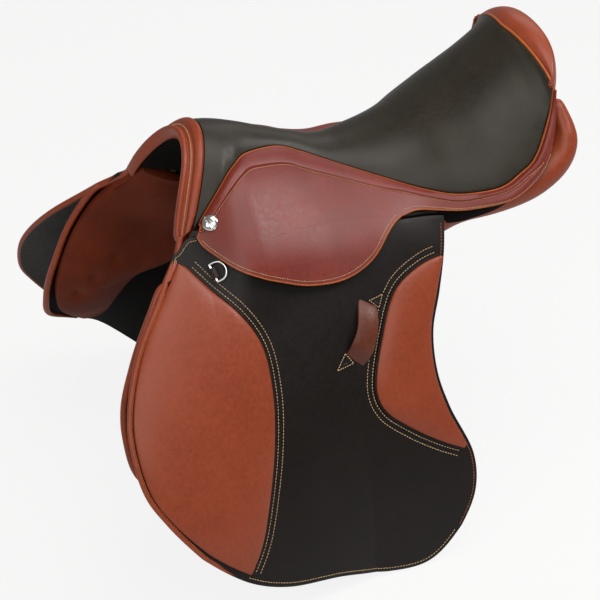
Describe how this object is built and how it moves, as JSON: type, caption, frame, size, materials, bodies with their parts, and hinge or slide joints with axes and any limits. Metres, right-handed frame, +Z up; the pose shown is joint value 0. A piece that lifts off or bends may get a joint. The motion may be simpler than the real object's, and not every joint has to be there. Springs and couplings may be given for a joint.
{
  "type": "saddle",
  "caption": "English close-contact jumping saddle with arched pommel, deep seat, hinged skirts and flaps, padded knee rolls, stirrup bars and girth straps.",
  "frame": {"origin": "on the centre plane in the gullet channel, where the horse's spine would be, under the lowest part of the seat", "axes": "+X to the cantle, -Y to the near (left) side, +Z up"},
  "size_m": [0.581, 0.587, 0.5585],
  "materials": {
    "olive_leather": "smooth waxed olive-charcoal calf",
    "tan_leather": "smooth satin tan calf",
    "oxblood_leather": "polished oxblood",
    "flap_leather": "dark chocolate, slightly grained",
    "piping_leather": "orange-tan rolled piping",
    "panel_leather": "soft brown panel leather",
    "lining": "black lining",
    "chrome": "polished",
    "steel": "brushed",
    "beech": "laminated beech",
    "foam": "open cell foam",
    "webbing": "linen webbing",
    "strap_leather": "chocolate strap"
  },
  "bodies": {
    "tree": {"cantle_facing": "tan_leather", "cantle_welt": "piping_leather", "flap_head_left": "flap_leather", "flap_head_right": "flap_leather", "front_girth_web": "webbing", "gullet_lining": "lining", "head_plate": "steel", "knee_block_left": "tan_leather", "knee_block_right": "tan_leather", "panel_front_left": "panel_leather", "panel_front_right": "panel_leather", "panel_rear_left": "tan_leather", "panel_rear_right": "tan_leather", "pommel_facing": "tan_leather", "rear_girth_web": "webbing", "seat_cover": "olive_leather", "seat_foam": "foam", "seat_piping_left": "piping_leather", "seat_piping_right": "piping_leather", "seat_strainer": "webbing", "skirt_band_left": "oxblood_leather", "skirt_band_right": "oxblood_leather", "skirt_nail_left": "chrome", "skirt_nail_right": "chrome", "stirrup_bar_left": "chrome", "stirrup_bar_right": "chrome", "sweat_flap_left": "tan_leather", "sweat_flap_right": "tan_leather", "tree_cantle": "beech", "tree_head": "beech", "tree_rail_left": "beech", "tree_rail_right": "beech", "tree_side_left": "beech", "tree_side_right": "beech"},
    "flap_left": {"dee_chape_left": "strap_leather", "flap_left": "flap_leather", "knee_pad_left": "tan_leather", "leather_keeper_left": "oxblood_leather", "thigh_pad_left": "tan_leather"},
    "flap_right": {"dee_chape_right": "strap_leather", "flap_right": "flap_leather", "knee_pad_right": "tan_leather", "leather_keeper_right": "oxblood_leather", "thigh_pad_right": "tan_leather"},
    "bar_catch_left": {"bar_catch_left": "chrome"},
    "bar_catch_right": {"bar_catch_right": "chrome"},
    "dee_left": {"dee_left": "chrome"},
    "dee_right": {"dee_right": "chrome"},
    "girth_strap_left_1": {"girth_strap_left_1": "strap_leather"},
    "girth_strap_left_2": {"girth_strap_left_2": "strap_leather"},
    "girth_strap_left_3": {"girth_strap_left_3": "strap_leather"},
    "girth_strap_right_1": {"girth_strap_right_1": "strap_leather"},
    "girth_strap_right_2": {"girth_strap_right_2": "strap_leather"},
    "girth_strap_right_3": {"girth_strap_right_3": "strap_leather"},
    "skirt_left": {"skirt_left": "oxblood_leather"},
    "skirt_right": {"skirt_right": "oxblood_leather"}
  },
  "joints": [
    {"name": "flap_left_hinge", "type": "hinge", "parent": "tree", "child": "flap_left", "pos_m": [-0.05, -0.121, 0.0472], "axis": [-0.998, -0.0111, 0.0621], "range_deg": [0, 70]},
    {"name": "skirt_left_hinge", "type": "hinge", "parent": "flap_left", "child": "skirt_left", "pos_m": [-0.05, -0.121, 0.0472], "axis": [-0.998, -0.0111, 0.0621], "range_deg": [0, 60]},
    {"name": "dee_left_hinge", "type": "hinge", "parent": "flap_left", "child": "dee_left", "pos_m": [-0.19075, -0.12776, 0.01589], "axis": [0.1537, -0.7181, -0.6787], "range_deg": [0, 110]},
    {"name": "bar_catch_left_hinge", "type": "hinge", "parent": "tree", "child": "bar_catch_left", "pos_m": [-0.05283, -0.11747, 0.02188], "axis": [0.1264, -0.8323, 0.5398], "range_deg": [0, 40]},
    {"name": "girth_strap_left_1_hinge", "type": "hinge", "parent": "tree", "child": "girth_strap_left_1", "pos_m": [-0.022, -0.1325, -0.03], "axis": [0, 1, 0], "range_deg": [-10, 10]},
    {"name": "girth_strap_left_2_hinge", "type": "hinge", "parent": "tree", "child": "girth_strap_left_2", "pos_m": [0.01, -0.1325, -0.03], "axis": [0, 1, 0], "range_deg": [-10, 10]},
    {"name": "girth_strap_left_3_hinge", "type": "hinge", "parent": "tree", "child": "girth_strap_left_3", "pos_m": [0.042, -0.1325, -0.03], "axis": [0, 1, 0], "range_deg": [-10, 10]},
    {"name": "flap_right_hinge", "type": "hinge", "parent": "tree", "child": "flap_right", "pos_m": [-0.05, 0.121, 0.0472], "axis": [0.998, -0.0111, -0.0621], "range_deg": [0, 70]},
    {"name": "skirt_right_hinge", "type": "hinge", "parent": "flap_right", "child": "skirt_right", "pos_m": [-0.05, 0.121, 0.0472], "axis": [0.998, -0.0111, -0.0621], "range_deg": [0, 60]},
    {"name": "dee_right_hinge", "type": "hinge", "parent": "flap_right", "child": "dee_right", "pos_m": [-0.19075, 0.12776, 0.01589], "axis": [-0.1537, -0.7181, 0.6787], "range_deg": [0, 110]},
    {"name": "bar_catch_right_hinge", "type": "hinge", "parent": "tree", "child": "bar_catch_right", "pos_m": [-0.05283, 0.11747, 0.02188], "axis": [-0.1264, -0.8323, -0.5398], "range_deg": [0, 40]},
    {"name": "girth_strap_right_1_hinge", "type": "hinge", "parent": "tree", "child": "girth_strap_right_1", "pos_m": [-0.022, 0.1325, -0.03], "axis": [0, 1, 0], "range_deg": [-10, 10]},
    {"name": "girth_strap_right_2_hinge", "type": "hinge", "parent": "tree", "child": "girth_strap_right_2", "pos_m": [0.01, 0.1325, -0.03], "axis": [0, 1, 0], "range_deg": [-10, 10]},
    {"name": "girth_strap_right_3_hinge", "type": "hinge", "parent": "tree", "child": "girth_strap_right_3", "pos_m": [0.042, 0.1325, -0.03], "axis": [0, 1, 0], "range_deg": [-10, 10]}
  ],
  "couplings": [
    {"joint": "girth_strap_left_1_hinge", "follows": "girth_strap_left_2_hinge", "ratio": 1},
    {"joint": "girth_strap_left_3_hinge", "follows": "girth_strap_left_2_hinge", "ratio": 1},
    {"joint": "girth_strap_right_1_hinge", "follows": "girth_strap_right_2_hinge", "ratio": 1},
    {"joint": "girth_strap_right_3_hinge", "follows": "girth_strap_right_2_hinge", "ratio": 1}
  ]
}
